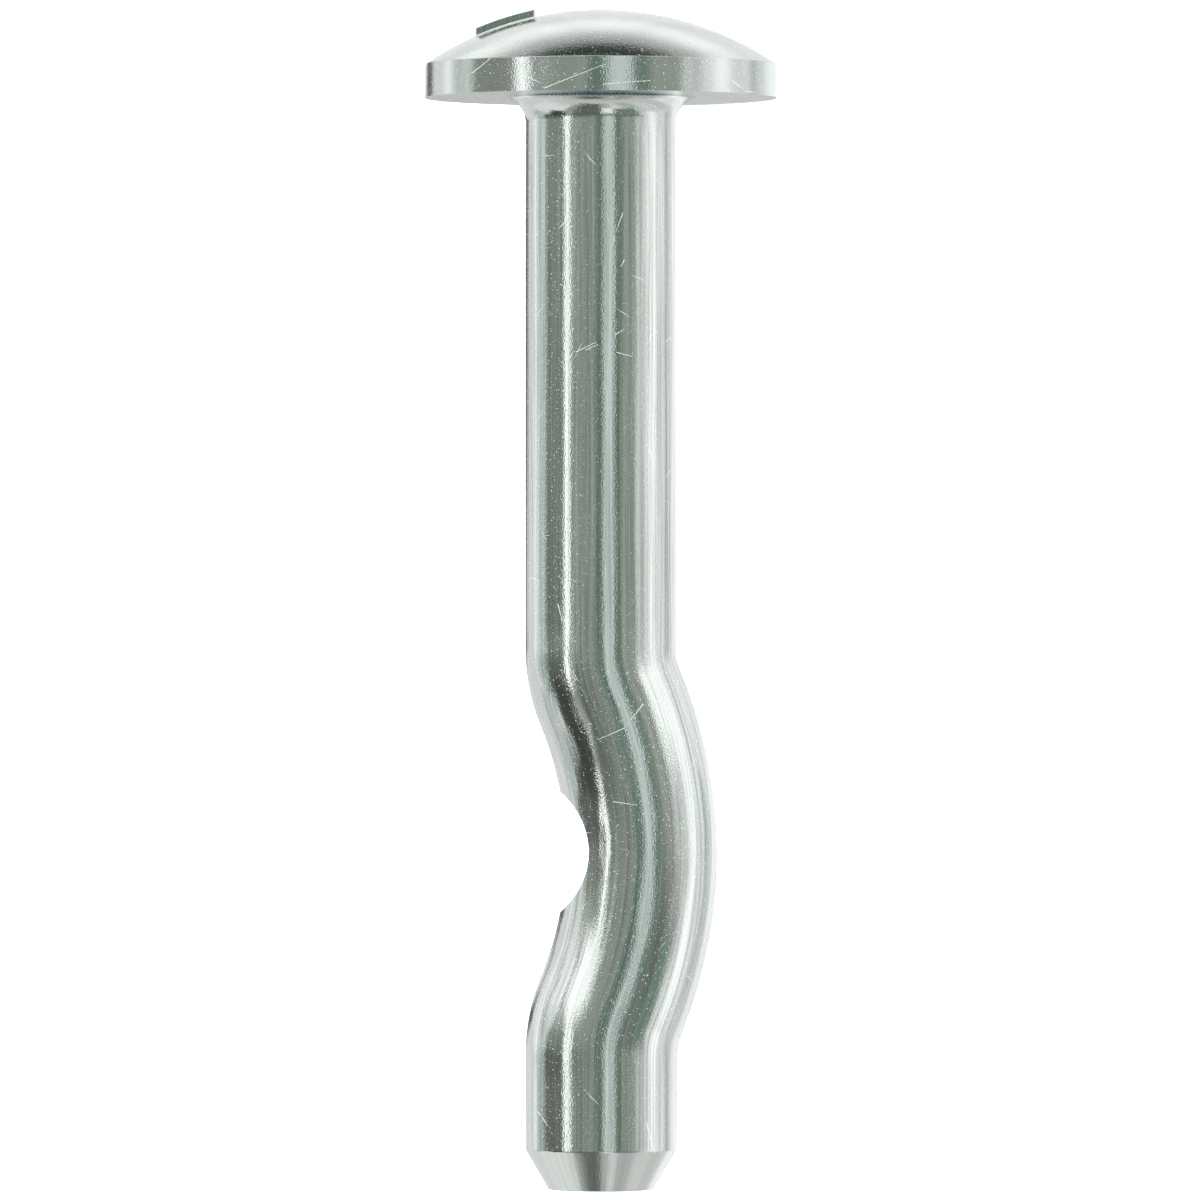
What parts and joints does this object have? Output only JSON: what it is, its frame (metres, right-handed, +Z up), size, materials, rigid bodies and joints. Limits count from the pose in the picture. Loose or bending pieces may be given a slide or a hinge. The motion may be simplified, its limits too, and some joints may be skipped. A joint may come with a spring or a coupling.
{
  "type": "mushroom head drive anchor",
  "caption": "Mushroom head drive anchor: domed round head with a flat rim, straight round shank, bowed crimp with a rounded notch, chamfered tip.",
  "frame": {"origin": "on the floor that the anchor lies on, at the middle of its box", "axes": "+X towards the head, +Z up from the floor; the bow of the crimp points to -Y and down"},
  "size_m": [0.048, 0.0144, 0.0144],
  "materials": {
    "zinc_plated_steel": "bright zinc plate, drawn shank, finely pitted"
  },
  "bodies": {
    "root": {"drive_anchor": "zinc_plated_steel"}
  },
  "joints": []
}
